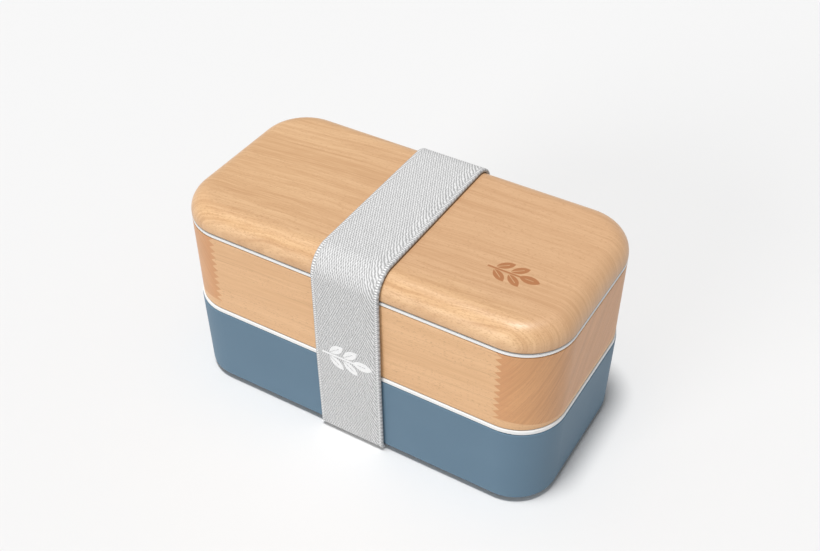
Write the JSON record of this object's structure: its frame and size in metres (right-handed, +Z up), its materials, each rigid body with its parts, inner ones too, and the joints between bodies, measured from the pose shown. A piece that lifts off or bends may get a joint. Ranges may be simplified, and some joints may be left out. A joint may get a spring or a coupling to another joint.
{
  "type": "bento lunch box",
  "caption": "Stacked oblong lunch box: round-cornered tubs with sealing inner lids and a loose food cup, under a rounded wood-look cover, held by an elastic strap.",
  "frame": {"origin": "under the middle of the box, on the surface that it stands on", "axes": "+X along the box's length, -Y towards its front long side, +Z up"},
  "size_m": [0.185, 0.0985, 0.1023],
  "materials": {
    "blue_shell": "matt denim-blue moulded plastic with a very fine soft texture",
    "white_lid": "satin white moulded plastic",
    "silicone": "translucent pale silicone",
    "wood_tub": "beech-look print with finger-jointed corners, satin",
    "wood_cover": "beech-look print, satin",
    "cup": "satin white moulded plastic",
    "webbing": "light grey and white twill elastic with beaded white edges",
    "thread": "white sewing thread"
  },
  "bodies": {
    "lower_tub": {"lower_container": "blue_shell"},
    "lower_lid": {"lower_inner_lid": "white_lid", "lower_lid_gasket": "silicone"},
    "lower_valve": {"lower_lid_valve": "silicone"},
    "upper_tub": {"upper_container": "wood_tub"},
    "cup": {"food_cup": "cup"},
    "upper_lid": {"upper_inner_lid": "white_lid", "upper_lid_gasket": "silicone"},
    "upper_valve": {"upper_lid_valve": "silicone"},
    "cover": {"top_cover": "wood_cover"},
    "strap": {"elastic_strap": "webbing", "strap_seam_stitches": "thread"}
  },
  "joints": [
    {"name": "lower_lid_lift", "type": "slide", "parent": "lower_tub", "child": "lower_lid", "axis": [0, 0, 1], "range_m": [0, 0.07]},
    {"name": "lower_valve_pop", "type": "slide", "parent": "lower_lid", "child": "lower_valve", "axis": [0, 0, 1], "range_m": [0, 0.003]},
    {"name": "upper_tub_lift", "type": "slide", "parent": "lower_lid", "child": "upper_tub", "axis": [0, 0, 1], "range_m": [0, 0.065]},
    {"name": "food_cup_lift", "type": "slide", "parent": "upper_tub", "child": "cup", "axis": [0, 0, 1], "range_m": [0, 0.065]},
    {"name": "upper_lid_lift", "type": "slide", "parent": "cup", "child": "upper_lid", "axis": [0, 0, 1], "range_m": [0, 0.045]},
    {"name": "upper_valve_pop", "type": "slide", "parent": "upper_lid", "child": "upper_valve", "axis": [0, 0, 1], "range_m": [0, 0.003]},
    {"name": "cover_lift", "type": "slide", "parent": "upper_lid", "child": "cover", "axis": [0, 0, 1], "range_m": [0, 0.04], "deforming": ["elastic_strap"]},
    {"name": "strap_slide", "type": "slide", "parent": "lower_tub", "child": "strap", "axis": [1, 0, 0], "range_m": [0, 0.115]}
  ]
}
